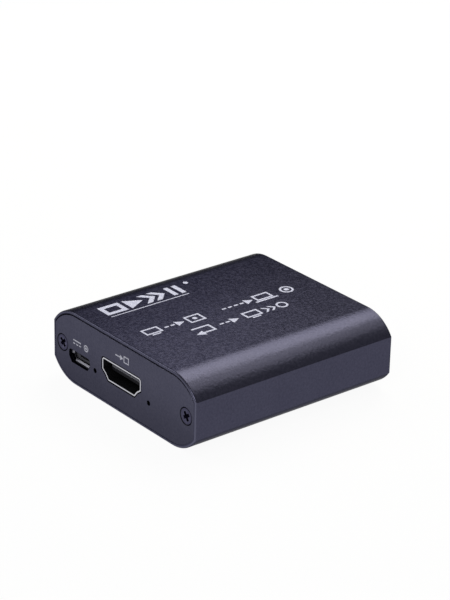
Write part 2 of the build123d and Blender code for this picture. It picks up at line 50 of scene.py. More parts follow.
class Wire:
    def __init__(self, tree, socket=None):
        self.tree = tree
        self.socket = socket

    def node(self, kind, settings=None, sockets=None, out=0):
        made = self.tree.nodes.new("ShaderNode" + kind)
        for key, value in (settings or {}).items():
            setattr(made, key, value)
        for key, value in (sockets or {}).items():
            if isinstance(value, Wire):
                self.tree.links.new(value.socket, made.inputs[key])
            else:
                made.inputs[key].default_value = value
        if isinstance(out, tuple):
            return [Wire(self.tree, made.outputs[name]) for name in out]
        return Wire(self.tree, made.outputs[out]) if len(made.outputs) else made

    def math(self, operation, *values, clamp=False):
        settings = {"operation": operation, "use_clamp": clamp}
        return self.node("Math", settings, dict(enumerate(values)))

    def __add__(self, other):
        return self.math("ADD", self, other)

    __radd__ = __add__

    def __sub__(self, other):
        return self.math("SUBTRACT", self, other)

    def __rsub__(self, other):
        return self.math("SUBTRACT", other, self)

    def __mul__(self, other):
        return self.math("MULTIPLY", self, other)

    __rmul__ = __mul__

    def __truediv__(self, other):
        return self.math("DIVIDE", self, other)

    def __abs__(self):
        return self.math("ABSOLUTE", self)

    def root(self):
        return self.math("SQRT", self)

    def least(self, other):
        return self.math("MINIMUM", self, other)

    def most(self, other):
        return self.math("MAXIMUM", self, other)

    def clamped(self):
        return self.math("ADD", self, 0, clamp=True)

    def spread(self, low, high, newLow=0.0, newHigh=1.0):  # from one range to another, smoothly
        sockets = {"From Min": low, "From Max": high, "To Min": newLow, "To Max": newHigh, "Value": self}
        return self.node("MapRange", {"interpolation_type": "SMOOTHSTEP"}, sockets)

    def stretched(self, newLow=0.0, newHigh=1.0):  # for a noise, whose values stay near the middle
        return self.spread(0.25, 0.75, newLow, newHigh)

    def tint(self, first, second):  # a colour between two, this wire being the share
        return self.node("Mix", {"data_type": "RGBA"}, {0: self, 6: first, 7: second}, out=2)


def rgb(red, green, blue):
    return (red, green, blue, 1.0)


black, white = rgb(0, 0, 0), rgb(1, 1, 1)


class Finish:
    def __init__(self, name):
        self.material = bpy.data.materials.new(name)
        self.material.use_nodes = True
        tree = self.material.node_tree
        tree.nodes.clear()
        self.wire = Wire(tree)
        self.place = self.wire.node("TexCoord", out="Object")

    def noise(self, grain, detail, rough):  # grain is the size of a speckle, in metres
        sockets = {"Vector": self.place, "Scale": 1 / grain, "Detail": detail, "Roughness": rough}
        return self.wire.node("TexNoise", {}, sockets)

    def meshLines(self, size):  # how far a point is from the nearest line of an uneven mesh
        sockets = {"Vector": self.place, "Scale": 1 / size}
        return self.wire.node("TexVoronoi", {"feature": "DISTANCE_TO_EDGE"}, sockets)

    def bump(self, height, depth, strength):  # depth is the height's full range, in metres
        return self.wire.node("Bump", {}, {"Height": height, "Distance": depth, "Strength": strength})

    def axes(self):  # the place on the object, in millimetres
        scaled = self.wire.node("VectorMath", {"operation": "SCALE"}, {0: self.place, "Scale": 1000.0})
        return self.wire.node("SeparateXYZ", {}, {0: scaled}, out=("X", "Y", "Z"))

    def close(self, **sockets):
        named = {key.replace("_", " "): value for key, value in sockets.items()}
        shader = self.wire.node("BsdfPrincipled", {}, named)
        self.wire.node("OutputMaterial", {}, {"Surface": shader})
        return self.material


# Camera, where the photographer stood

shot = {
    "aim": (0.0, 0.0, 0.0092),
    "azimuth": 50.815,
    "elevation": 24.361,
    "roll": 1.299,
    "distance": 0.53314,
    "slide": (0.00078, 0.01062),
    "lens": 137.47,
    "sensor": 36.0,
    "clip": (0.01, 50),
}


def addCamera():
    turn, tilt, roll = (math.radians(shot[key]) for key in ("azimuth", "elevation", "roll"))
    back = Vector((math.sin(turn) * math.cos(tilt), -math.cos(turn) * math.cos(tilt), math.sin(tilt)))
    level = Vector((math.cos(turn), math.sin(turn), 0))
    upright = back.cross(level)
    right = level * math.cos(roll) + upright * math.sin(roll)
    up = upright * math.cos(roll) - level * math.sin(roll)
    slideRight, slideUp = shot["slide"]
    stand = Vector(shot["aim"]) + back * shot["distance"] + right * slideRight + up * slideUp
    axes = Matrix((right, up, back)).transposed().to_4x4()
    data = bpy.data.cameras.new("camera")
    data.lens = shot["lens"]
    data.sensor_width = shot["sensor"]
    data.clip_start, data.clip_end = shot["clip"]
    camera = bpy.data.objects.new("camera", data)
    camera.matrix_world = Matrix.Translation(stand) @ axes
    bpy.context.scene.collection.objects.link(camera)
    bpy.context.scene.camera = camera


addCamera()
print("camera set")


# White table and surround, soft round lamps, and a darker ceiling for the metal to mirror

studio = {
    "floorHalf": 4.0,
    "floorGap": 0.00005,
    "floorColour": rgb(0.9, 0.9, 0.9),
    "floorWhite": 0.94,
    "floorMirrored": (0.10, 0.22, 1.0, 0.3),  # metal sees less of it from the first distance to the second
    "surroundTop": -0.12,
    "ceilingFrom": 0.02,
    "ceiling": 0.30,
    "plainLight": 0.45,
    "plainColour": rgb(0.97, 0.985, 1.0),
}
lamps = {  # azimuth from +Y toward +X, elevation, distance, size, watts, colour
    "overhead": (-32, 51, 0.5, 0.32, 1.13, (1.0, 0.985, 0.84)),
    "behind": (12, 53, 0.6, 0.32, 0.32, (1.0, 0.985, 0.84)),
    "low": (-56, 30, 0.36, 0.10, 0.050, (1.0, 0.99, 0.92)),
    "near": (46, 56, 0.12, 0.05, 0.0040, (1.0, 0.985, 0.88)),
    "left": (-120, 35, 1.2, 0.6, 2.2, (1.0, 1.0, 1.0)),
    "front": (150, 35, 1.2, 0.5, 3.0, (1.0, 1.0, 1.0)),
}


def seen(wire, mirrored=1.0):  # 1 for the rays that show the white surround
    rays = wire.node("LightPath", out=("Is Camera Ray", "Is Glossy Ray", "Is Transmission Ray"))
    return (rays[0] + rays[1] * mirrored + rays[2]).clamped()


def addFloor():
    bpy.ops.mesh.primitive_plane_add(size=2 * studio["floorHalf"], location=(0, 0, -studio["floorGap"]))
    floor = bpy.context.object
    floor.name = "floor"
    bpy.ops.object.transform_apply(location=True, rotation=True, scale=True)
    material = bpy.data.materials.new("white_table")
    material.use_nodes = True
    material.node_tree.nodes.clear()
    wire = Wire(material.node_tree)
    table = wire.node("BsdfDiffuse", {}, {"Color": studio["floorColour"]})
    glow = wire.node("Emission", {}, {"Color": white, "Strength": 1.0})
    place = wire.node("TexCoord", out="Object")
    far = wire.node("VectorMath", {"operation": "LENGTH"}, {0: place}, out="Value")
    share = seen(wire, far.spread(*studio["floorMirrored"])) * studio["floorWhite"]
    both = wire.node("MixShader", {}, {0: share, 1: table, 2: glow})
    wire.node("OutputMaterial", {}, {"Surface": both})
    floor.data.materials.append(material)
    floor.select_set(False)


def addWorld():
    world = bpy.data.worlds.new("surround")
    world.use_nodes = True
    world.node_tree.nodes.clear()
    wire = Wire(world.node_tree)
    way = wire.node("TexCoord", out="Generated")
    height = wire.node("SeparateXYZ", {}, {0: way}, out="Z")
    shown = height.spread(studio["surroundTop"], studio["ceilingFrom"], 1.0, studio["ceiling"])
    mirrored = wire.node("Background", {}, {"Color": white, "Strength": shown})
    plain = wire.node("Background", {}, {"Color": studio["plainColour"], "Strength": studio["plainLight"]})
    both = wire.node("MixShader", {}, {0: seen(wire), 1: plain, 2: mirrored})
    wire.node("OutputWorld", {}, {"Surface": both})
    bpy.context.scene.world = world


def addLamps():
    for name, (turn, rise, far, size, watts, colour) in lamps.items():
        turn, rise = math.radians(turn), math.radians(rise)
        way = Vector((math.sin(turn) * math.cos(rise), math.cos(turn) * math.cos(rise), math.sin(rise)))
        bpy.ops.object.light_add(type="AREA", location=Vector(shot["aim"]) + way * far)
        lamp = bpy.context.object
        lamp.name = name
        lamp.rotation_euler = way.to_track_quat("Z", "Y").to_euler()
        lamp.data.shape, lamp.data.size = "DISK", size
        lamp.data.energy, lamp.data.color = watts, colour
        lamp.visible_camera = False
        lamp.select_set(False)


addFloor()
addWorld()
addLamps()
bpy.context.scene.view_settings.view_transform = "Standard"
print("studio lit")


# Printed marks: each shape is a distance in millimetres from its edge, less than 0 inside.
# They are plain signs, drawn as (kind, u, v, ...) with u along the row and v upwards.

class Marks:
    def __init__(self, u, v):
        self.u, self.v = u, v

    def bar(self, u, v, halfU, halfV):
        return (abs(self.u - u) - halfU).most(abs(self.v - v) - halfV)

    def frame(self, u, v, halfU, halfV, stroke):
        return abs(self.bar(u, v, halfU - stroke / 2, halfV - stroke / 2)) - stroke / 2

    def dot(self, u, v, radius):
        du, dv = self.u - u, self.v - v
        return (du * du + dv * dv).root() - radius

    def ring(self, u, v, radius, stroke):
        return abs(self.dot(u, v, radius - stroke / 2)) - stroke / 2

    def arrow(self, u, v, halfU, halfV, way):  # a filled triangle that points along u, or back
        along = (self.u - u) * way
        return (abs(self.v - v) + along * (halfV / (2 * halfU)) - halfV / 2).most(-halfU - along)

    def chevron(self, u, v, halfV, stroke):
        return (abs(self.u - u + abs(self.v - v)) - stroke).most(abs(self.v - v) - halfV)

    def mask(self, signs, soft):  # 1 inside any of the signs
        shapes = [getattr(self, kind)(*sizes) for kind, *sizes in signs]
        nearest = shapes[0]
        for shape in shapes[1:]:
            nearest = nearest.least(shape)
        return (0.5 - nearest / soft).clamped()


topPrint = {
    "boldRow": (15.2, -23.1, 2.3),  # how far it is from the middle, its start and half its height
    "thinRows": (0.15, -5.9),
    "boldStroke": 1.1,
    "boldWing": 0.8,
    "thinStroke": 0.5,
    "thinWing": 0.35,
    "dashHalf": 0.27,
    "dashStep": 1.75,
    "soft": 0.10,
    "lowest": 18.0,
}


def screenSign(u, v):  # a screen on its foot
    return [("frame", u, v + 0.3, 2.3, 1.45, topPrint["thinStroke"]), ("bar", u, v - 1.65, 1.2, 0.22)]


def pathSign(u, v, dashes):  # dashes that end in an arrow
    step, half = topPrint["dashStep"], topPrint["dashHalf"]
    steps = [("bar", u + step * count, v, 0.55, half) for count in range(dashes)]
    return steps + [("arrow", u + step * dashes + 0.4, v, 1.15, 1.2, 1)]


def turnSign(u, v):  # a path that turns back
    half = topPrint["dashHalf"]
    return [
        ("bar", u, v + 1.4, 2.4, half), ("bar", u + 2.4, v, half, 1.67),
        ("bar", u + 0.7, v - 1.4, 1.7, half), ("arrow", u - 1.9, v - 1.4, 1.1, 1.1, -1),
    ]


def topMask(finish):
    x, y, z = finish.axes()
    bold, start, half = topPrint["boldRow"]
    high, low = topPrint["thinRows"]
    boldStroke, boldWing = topPrint["boldStroke"], topPrint["boldWing"]
    stroke, wing = topPrint["thinStroke"], topPrint["thinWing"]
    signs = [
        ("frame", start + 2.9, bold, 2.9, half, boldStroke), ("arrow", start + 9.2, bold, 2.3, half, 1),
        ("chevron", start + 14.3, bold, half, boldWing), ("chevron", start + 17.1, bold, half, boldWing),
        ("bar", start + 19.7, bold, 0.6, half), ("bar", start + 22.0, bold, 0.6, half),
        ("bar", -11.8, bold - 3.35, 11.25, 0.14), ("dot", 2.5, bold + 2.0, 0.62),
        ("frame", -8.0, high, 2.2, 1.75, stroke), ("dot", -8.0, high, 0.6),
        ("frame", 12.2, high + 0.3, 2.4, 1.45, stroke), ("bar", 12.2, high - 1.6, 3.3, topPrint["dashHalf"]),
        ("ring", 19.4, high, 1.75, stroke), ("dot", 19.4, high, 0.65),
        ("chevron", 8.9, low, 1.2, wing), ("chevron", 10.7, low, 1.2, wing),
        ("ring", 13.0, low, 1.5, stroke),
    ]
    signs += screenSign(-20.1, high) + pathSign(-16.1, high, 2) + pathSign(0.6, high, 4)
    signs += turnSign(-10.2, low) + pathSign(-4.9, low, 2) + screenSign(4.2, low)
    inside = Marks(y, 0 - x).mask(signs, topPrint["soft"])
    return inside * z.math("GREATER_THAN", z, topPrint["lowest"])


platePrint = {
    "power": (-15.9, 11.1),  # where each sign stands, and below the half sizes and stroke of its shapes
    "video": (-0.2, 14.1),
    "loop": (10.6, 14.1),
    "data": (-8.2, 14.1),
    "frame": (0.95, 0.85, 0.26),
    "arrow": (0.6, 0.65, 1),
    "lineHalf": 0.15,
    "supplyHalf": 0.16,
    "soft": 0.10,
    "face": 28.6,
}


def supplySign(u, v):  # a long line over three short ones, then a ring round a dot
    half = platePrint["supplyHalf"]
    shorts = [("bar", u - 1.6 + step, v - 0.35, 0.35, half) for step in (-1.15, 0, 1.15)]
    return shorts + [
        ("bar", u - 1.6, v + 0.45, 1.5, half), ("ring", u + 1.9, v, 0.85, 0.26), ("dot", u + 1.9, v, 0.34),
    ]


def inwardSign(u, v):  # an arrow into a frame
    look = platePrint
    return [
        ("bar", u - 1.5, v, 0.9, look["lineHalf"]), ("arrow", u, v, *look["arrow"]),
        ("frame", u + 1.7, v, *look["frame"]),
    ]


def outwardSign(u, v):  # an arrow out of a frame
    look = platePrint
    return [
        ("frame", u - 1.6, v, *look["frame"]), ("bar", u + 0.3, v, 0.6, look["lineHalf"]),
        ("arrow", u + 1.4, v, *look["arrow"]),
    ]


def frontMask(finish):
    x, y, z = finish.axes()
    signs = supplySign(*platePrint["power"]) + inwardSign(*platePrint["video"])
    inside = Marks(x, z).mask(signs, platePrint["soft"])
    return inside * y.math("LESS_THAN", y, -platePrint["face"])


def rearMask(finish):
    x, y, z = finish.axes()
    place, high = platePrint["data"]
    signs = outwardSign(*platePrint["loop"]) + outwardSign(place, high) + [("dot", place - 1.6, high, 0.3)]
    inside = Marks(0 - x, z).mask(signs, platePrint["soft"])
    return inside * y.math("GREATER_THAN", y, platePrint["face"])


edges = {
    "shoulderStart": 0.0185,
    "shoulderRadius": 0.010153,
    "mouthDeep": 0.00030,
    "mouthRound": (0.00013, 3),  # the radius of a softened edge and its steps
    "plateDeep": 0.0011,
    "plateRound": (0.00010, 3),
    "cutRound": (0.00006, 2),
    "plateFit": (1.0060, 1.0, 1.0073),  # the plate is tight at the sides and sits low
    "fitMiddle": (0, 0, 0.0215),
    "pinhole": (0.0008, 1.2),  # what lies this near its axis grows so much
    "same": 0.000001,  # two places nearer than this are one
    "flat": math.radians(0.5),
    "smooth": math.radians(30),
    "corner": 0.4,  # faces that meet at more than this angle, in radians, make an edge
}


# Finishes. A noise is (size of a speckle in metres, detail, roughness), a bump (depth in metres, strength).

anodising = {
    "dark": rgb(0.044, 0.044, 0.070),
    "light": rgb(0.060, 0.059, 0.091),
    "edgeTint": rgb(0.40, 0.40, 0.40),
    "grain": (0.0006, 4.0, 0.7),
    "cloud": (0.007, 3.0, 0.5),
    "cloudShare": 0.2,
    "blast": (0.0006, 2.0, 0.4),
    "bump": (0.00004, 1.0),
    "speck": (0.00055, 1.0, 0.6),
    "speckRange": (0.36, 0.64, 1.0, 0.0),
    "speckDark": 0.34,
    "speckWide": (18.0, 20.5, 1.0, 0.25),  # the shoulders and sides, further out, are smoother
    "rough": (0.27, 0.37),
    "ink": rgb(0.56, 0.565, 0.71),
    "plateInk": rgb(0.42, 0.42, 0.49),
    "inkRough": 0.55,
    "caseLift": (1.13, 1.13, 1.13),
    # the plates' finish is lifted lighter than the tube's same finish, as painted light, and the painted
    # shade below darkens it again towards the table
    "plateLitLift": (1.45, 1.46, 1.35),
    "topShade": (-25.0, 13.0, 0.34, 0.0),  # painted shade: the top darkens towards its left edge
    "topOnly": (14.0, 18.2),
    "plateShadeFade": (0.0, 15.0, 0.30, 0.0),  # painted shade: the plates darken towards the table
    "plateCutShade": (28.45, 28.62, 1.0, 0.0),  # and painted shade in the walls of their cut-outs
    # painted shade: the colour for the tube's end above the plate, the plates' cut-out walls and the
    # countersinks
    "deep": rgb(0.016, 0.016, 0.022),
    # painted highlight: the colour of the outer part of the tube's end
    "endHighlight": rgb(0.100, 0.100, 0.144),
    "endHighlightFrom": (28.5, 28.68),
    "endHighlightWide": (0.42, 0.56, 1.0, 0.0),  # how deep the painted highlight goes into the tube's end
    "gapShade": (0.66, 0.74),  # and from where its inner edge is in shadow, above the plate
    "shadeAbove": 13.9,
    "screwHole": (23.4, 9.2, 2.3, 0.02),  # distance from the middle, height, radius and softness
    "holeFace": 28.67,
}


def countersinkShade(finish):  # 1 on the walls of the countersinks, where shade is painted
    x, y, z = finish.axes()
    side, high, radius, soft = anodising["screwHole"]
    inside = Marks(abs(x), z).mask([("dot", side, high, radius)], soft)
    return inside * y.math("LESS_THAN", abs(y), anodising["holeFace"])


def endDepth(finish):  # how deep below the tube's outline a point of its end lies, in millimetres
    x, y, z = finish.axes()
    high = 1000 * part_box("case_tube")[1]
    start, radius, middle = 1000 * edges["shoulderStart"], 1000 * edges["shoulderRadius"], high.z / 2
    across, up = (abs(x) - start).most(0), abs(z - middle) - (middle - radius)
    return (radius - (across * across + up * up).root()).least(high.x - abs(x))


def anodised(name, mask, lift, ink, tube=False):
    finish = Finish(name)
    x, y, z = finish.axes()
    look = anodising
    grain, cloud, blast = (finish.noise(*look[key]) for key in ("grain", "cloud", "blast"))
    dark, light = (rgb(*(tone * by for tone, by in zip(look[key], lift))) for key in ("dark", "light"))
    mixed = grain * (1 - look["cloudShare"]) + cloud * look["cloudShare"]
    colour = mixed.stretched().tint(dark, light)
    if tube:
        specks = finish.noise(*look["speck"]).spread(*look["speckRange"]) * abs(x).spread(*look["speckWide"])
        colour = (specks * look["speckDark"]).tint(colour, black)
        # painted shade that darkens the top towards its left edge
        paintedTopShade = x.spread(*look["topShade"]) * z.spread(*look["topOnly"])
        colour = paintedTopShade.tint(colour, black)
        deep = endDepth(finish)
        # a painted highlight on the outer part of the tube's end, and painted shadow on its inner edge above
        # the plate
        cut = abs(y).spread(*look["endHighlightFrom"]) * deep.spread(*look["endHighlightWide"])
        shaded = deep.spread(*look["gapShade"]) * z.math("GREATER_THAN", z, look["shadeAbove"])
        colour = shaded.tint(cut.tint(colour, look["endHighlight"]), look["deep"])
    else:
        # painted shade: the plates darken towards the table and behind their face
        colour = z.spread(*look["plateShadeFade"]).tint(colour, black)
        colour = abs(y).spread(*look["plateCutShade"]).tint(colour, look["deep"])
    printed = mask(finish)
    return finish.close(
        # painted shade in the countersinks, under the print
        Base_Color=printed.tint(countersinkShade(finish).tint(colour, look["deep"]), ink),
        Roughness=grain.stretched(*look["rough"]) * (1 - printed) + printed * look["inkRough"],
        Metallic=1 - printed, Specular_Tint=look["edgeTint"], Normal=finish.bump(blast, *look["bump"]),
    )


metalSurface = {"noise": (3.0, 0.6), "bump": (0.000004, 0.4)}
plasticSurface = {"noise": (2.0, 0.6), "bump": (0.00001, 0.4)}


def metalFinish(name, first, second, rough, grain):
    finish = Finish(name)
    speckle = finish.noise(grain, *metalSurface["noise"])
    return finish.close(
        Base_Color=speckle.tint(first, second), Metallic=1.0, Roughness=speckle.stretched(*rough),
        Normal=finish.bump(speckle, *metalSurface["bump"]),
    )


def plasticFinish(name, first, second, rough, grain, coat=0.0):
    finish = Finish(name)
    speckle = finish.noise(grain, *plasticSurface["noise"])
    return finish.close(
        Base_Color=speckle.tint(first, second), Roughness=speckle.stretched(*rough), Coat_Weight=coat,
        Normal=finish.bump(speckle, *plasticSurface["bump"]),
    )


steel = {
    "dark": rgb(0.46, 0.46, 0.50),
    "light": rgb(0.58, 0.58, 0.63),
    # painted shade: the colour deep inside the video and data sockets
    "inside": rgb(0.035, 0.035, 0.040),
    "rough": (0.22, 0.36),
    "grain": 0.00015,
    "bump": (0.0000015, 0.4),
    "soft": 0.04,
    "lip": (28.35, 28.55, 1.0, 0.0),  # further in, a video or data socket is painted dark, as painted shade
    "flap": rgb(0.17, 0.17, 0.194),
    "floor": rgb(0.20, 0.20, 0.23),
    "floorMetal": 0.1,
    "flapEnd": (26.6, 27.2, 1.0, 0.0),  # further in, the power socket has its floor
    "powerSpare": 0.1,
    "powerReach": 1.0,
    "rougher": (0.25, 0.12, 0.2),  # inside, on the flaps and on the floor
    "frontMouths": [(-0.445, 8.98, 7.08, 2.36)],  # middle x, middle z, half width, half height
    "rearMouths": [(-10.563, 8.98, 7.08, 2.36), (8.156, 8.83, 6.33, 2.64)],
}


def steelFinish():
    finish = Finish("socket_steel")
    x, y, z = finish.axes()
    look = steel
    face, soft, spare = Marks(x, z), look["soft"], look["powerSpare"]
    speckle = finish.noise(look["grain"], *metalSurface["noise"])
    front = face.mask([("bar", *mouth) for mouth in look["frontMouths"]], soft)
    rear = face.mask([("bar", *mouth) for mouth in look["rearMouths"]], soft)
    behind = y.math("GREATER_THAN", y, 0)
    # painted shade inside the video and data sockets, from behind their lips
    inside = (front * (1 - behind) + rear * behind) * abs(y).spread(*look["lip"])
    low, high = (1000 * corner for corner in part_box("power_socket_shell"))
    middle, half = (low + high) / 2, (high - low) / 2
    power = face.mask([("bar", middle.x, middle.z, half.x + spare, half.z + spare)], soft)
    power = power * y.math("LESS_THAN", y, middle.y - look["powerReach"])
    floor = power * abs(y).spread(*look["flapEnd"])
    colour = inside.tint(speckle.tint(look["dark"], look["light"]), look["inside"])
    rough = speckle.stretched(*look["rough"])
    for place, more in zip((inside, power, floor), look["rougher"]):
        rough = rough + place * more
    return finish.close(
        Base_Color=floor.tint(power.tint(colour, look["flap"]), look["floor"]), Roughness=rough,
        Metallic=1 - floor * (1 - look["floorMetal"]), Normal=finish.bump(speckle, *look["bump"]),
    )


screwCoat = {
    "dark": rgb(0.046, 0.045, 0.074),
    "light": rgb(0.078, 0.076, 0.120),
    "recessHighlight": rgb(0.100, 0.098, 0.150),  # a painted highlight round the recess
    "highlightWithin": (1.45, 0.35),  # a radius and how softly it ends
    "highlightNoise": (0.0005, 2.0, 0.5),
    "highlightNoiseRange": (0.4, 0.65),
    # painted shade: the colour deep in the cross recess
    "recess": rgb(0.006, 0.005, 0.013),
    "recessShadeFrom": (28.40, 28.52, 1.0, 0.0),
    "recessRougher": 0.3,
    "rough": (0.26, 0.40),
    "grain": 0.0002,
}


def screwFinish():
    finish = Finish("screw_black")
    x, y, z = finish.axes()
    look = screwCoat
    side, high = anodising["screwHole"][:2]
    radius, soft = look["highlightWithin"]
    speckle = finish.noise(look["grain"], *metalSurface["noise"])
    # a painted highlight round the recess, broken up by a noise
    highlightNoise = finish.noise(*look["highlightNoise"]).spread(*look["highlightNoiseRange"])
    recessHighlight = Marks(abs(x), z).mask([("dot", side, high, radius)], soft) * highlightNoise
    coat = recessHighlight.tint(speckle.tint(look["dark"], look["light"]), look["recessHighlight"])
    # painted shade deep in the cross recess
    deep = abs(y).spread(*look["recessShadeFrom"])
    return finish.close(
        Base_Color=deep.tint(coat, look["recess"]), Metallic=1.0, Specular_Tint=anodising["edgeTint"],
        Roughness=speckle.stretched(*look["rough"]) + deep * look["recessRougher"],
        Normal=finish.bump(speckle, *metalSurface["bump"]),
    )


moulding = {
    "dark": rgb(0.003, 0.003, 0.005),
    "light": rgb(0.006, 0.006, 0.009),
    "edgeHighlight": rgb(0.150, 0.150, 0.172),  # a painted highlight along the tongue's front edge
    "edgeHighlightOut": (27.0, 27.08),
    "edgeHighlightUp": (9.50, 9.58),
    "rough": (0.45, 0.6),
    "gloss": 0.06,
    "grain": 0.0003,
}


def socketFinish():
    finish = Finish("socket_black")
    x, y, z = finish.axes()
    look = moulding
    speckle = finish.noise(look["grain"], *plasticSurface["noise"])
    # a painted highlight along the tongue's front edge
    edgeHighlight = abs(y).spread(*look["edgeHighlightOut"]) * z.spread(*look["edgeHighlightUp"])
    plain = speckle.tint(look["dark"], look["light"])
    return finish.close(
        Base_Color=edgeHighlight.tint(plain, look["edgeHighlight"]), Roughness=speckle.stretched(*look["rough"]),
        Normal=finish.bump(speckle, *plasticSurface["bump"]), Specular_IOR_Level=look["gloss"],
    )


solderMask = {
    "dark": rgb(0.006, 0.075, 0.026),
    "light": rgb(0.010, 0.105, 0.038),
    "track": rgb(0.020, 0.150, 0.050),
    "patch": (0.004, 3.0, 0.5),
    "mesh": 0.0011,
    "trackWide": (0.03, 0.08, 1.0, 0.0),
    "rough": (0.2, 0.8, 0.22, 0.34),
    "bump": (0.00003, 0.5),
    "coat": 0.4,
}


def boardFinish():
    finish = Finish("board_green")
    look = solderMask
    patch = finish.noise(*look["patch"])
    track = finish.meshLines(look["mesh"]).spread(*look["trackWide"])
    green = patch.tint(look["dark"], look["light"])
    return finish.close(
        Base_Color=track.tint(green, look["track"]), Roughness=patch.spread(*look["rough"]),
        Normal=finish.bump(track, *look["bump"]), Coat_Weight=look["coat"],
    )


metals = {  # darker and lighter colour, roughness, size of a speckle in metres
    "contact_gold": (rgb(0.30, 0.20, 0.085), rgb(0.44, 0.30, 0.14), (0.30, 0.42), 0.0003),
    "lead_tin": (rgb(0.58, 0.58, 0.59), rgb(0.74, 0.74, 0.74), (0.28, 0.42), 0.0002),
    "crystal_can": (rgb(0.62, 0.62, 0.62), rgb(0.76, 0.76, 0.76), (0.22, 0.36), 0.0003),
    "can_aluminium": (rgb(0.70, 0.70, 0.71), rgb(0.82, 0.82, 0.83), (0.24, 0.36), 0.0005),
}
plastics = {  # the same, and the coat of the clear lens
    "light_white": (rgb(0.70, 0.70, 0.68), rgb(0.80, 0.80, 0.78), (0.40, 0.55), 0.0004),
    "light_lens": (rgb(0.42, 0.44, 0.44), rgb(0.50, 0.52, 0.52), (0.10, 0.18), 0.0006, 0.6),
    "chip_black": (rgb(0.014, 0.014, 0.015), rgb(0.026, 0.026, 0.027), (0.50, 0.65), 0.00015),
    "ferrite_grey": (rgb(0.045, 0.045, 0.048), rgb(0.075, 0.075, 0.078), (0.55, 0.70), 0.0002),
    "capacitor_tan": (rgb(0.30, 0.19, 0.10), rgb(0.38, 0.25, 0.14), (0.40, 0.55), 0.0002),
    "resistor_dark": (rgb(0.012, 0.012, 0.014), rgb(0.022, 0.022, 0.025), (0.30, 0.42), 0.0002),
    "fuse_green": (rgb(0.02, 0.14, 0.05), rgb(0.03, 0.19, 0.07), (0.38, 0.50), 0.0003),
}
finishes = {
    "case_black": anodised("case_black", topMask, anodising["caseLift"], anodising["ink"], tube=True),
    "plate_black": anodised("plate_black", frontMask, anodising["plateLitLift"], anodising["plateInk"]),
    "rear_black": anodised("rear_black", rearMask, anodising["plateLitLift"], anodising["plateInk"]),
    "screw_black": screwFinish(),
    "board_green": boardFinish(),
    "socket_steel": steelFinish(),
    "socket_black": socketFinish(),
}
finishes.update({name: metalFinish(name, *look) for name, look in metals.items()})
finishes.update({name: plasticFinish(name, *look) for name, look in plastics.items()})


def dressNodes():
    for name, node in nodes.items():
        for held in node.material_slots:
            slotName = held.material.name.split(".")[0]
            held.material = finishes["rear_black" if name == "rear_plate" else slotName]


dressNodes()
print("nodes dressed")


# The tube and the plates with rounded edges, in place of the sharp ones

def choose(kind, test):  # selects only what passes the test, in edit mode
    bpy.ops.mesh.select_mode(type=kind)
    bpy.ops.mesh.select_all(action="DESELECT")
    shape = bmesh.from_edit_mesh(bpy.context.object.data)
    for item in {"VERT": shape.verts, "EDGE": shape.edges, "FACE": shape.faces}[kind]:
        item.select_set(test(item))
    shape.select_flush_mode()
    bmesh.update_edit_mesh(bpy.context.object.data)


def push(x, y, z):  # extrudes what is selected
    bpy.ops.mesh.extrude_region_move(TRANSFORM_OT_translate={"value": (x, y, z)})


def soften(radius, steps):  # rounds the edges that are selected
    bpy.ops.mesh.bevel(offset=radius, segments=steps)


def applyPlace():
    bpy.ops.object.transform_apply(location=True, rotation=True, scale=True)


def only(piece):  # makes one piece the selected and active one
    bpy.ops.object.select_all(action="DESELECT")
    piece.select_set(True)
    bpy.context.view_layer.objects.active = piece


def depthInOutline(spot, box):  # how far a point is from the outline of the tube, inwards
    low, high = box
    across, height = abs(spot.x), min(spot.z, high.z - spot.z)
    deep = min(high.x - across, height)
    if across > edges["shoulderStart"]:
        centre = Vector((edges["shoulderStart"], edges["shoulderRadius"]))
        deep = min(deep, edges["shoulderRadius"] - (Vector((across, height)) - centre).length)
    return deep


def copyNode(name, newName):
    bpy.ops.object.select_all(action="DESELECT")
    piece = bpy.data.objects.new(newName, nodes[name].data.copy())
    bpy.context.scene.collection.objects.link(piece)
    only(piece)
    bpy.ops.mesh.customdata_custom_splitnormals_clear()
    bpy.ops.object.mode_set(mode="EDIT")
    bpy.ops.mesh.select_all(action="SELECT")
    bpy.ops.mesh.remove_doubles(threshold=edges["same"])
    bpy.ops.mesh.dissolve_limited(angle_limit=edges["flat"])
    return piece


def closePiece(piece, name):
    bpy.ops.object.mode_set(mode="OBJECT")
    bpy.ops.object.shade_smooth_by_angle(angle=edges["smooth"])
    even = piece.modifiers.new("even", "WEIGHTED_NORMAL")
    even.keep_sharp = True
    bpy.ops.object.modifier_apply(modifier=even.name)
    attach(piece, "root")
    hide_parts(name)
    bpy.ops.object.select_all(action="DESELECT")


def turned(edge):  # whether two faces meet at an angle there
    return edge.is_manifold and edge.calc_face_angle() > edges["corner"]


def addCase():
    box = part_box("case_tube")
    mouth, deep = box[1].y, edges["mouthDeep"]
    piece = copyNode("case_tube", "case_tube_rounded")

    def onRim(spot):
        return abs(spot.y) > mouth - deep and depthInOutline(spot, box) < deep

    def alongRim(edge):
        first, second = (corner.co for corner in edge.verts)
        return turned(edge) and onRim(first) and onRim(second) and abs(first.y - second.y) < edges["same"]

    choose("EDGE", alongRim)
    soften(*edges["mouthRound"])
    closePiece(piece, "case_tube")


def lightPlaces():  # the middles of the two indicator lights
    low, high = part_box("indicator_light_lenses")
    radius = (high.z - low.z) / 2
    return [Vector((x, 0, low.z + radius)) for x in (low.x + radius, high.x - radius)]


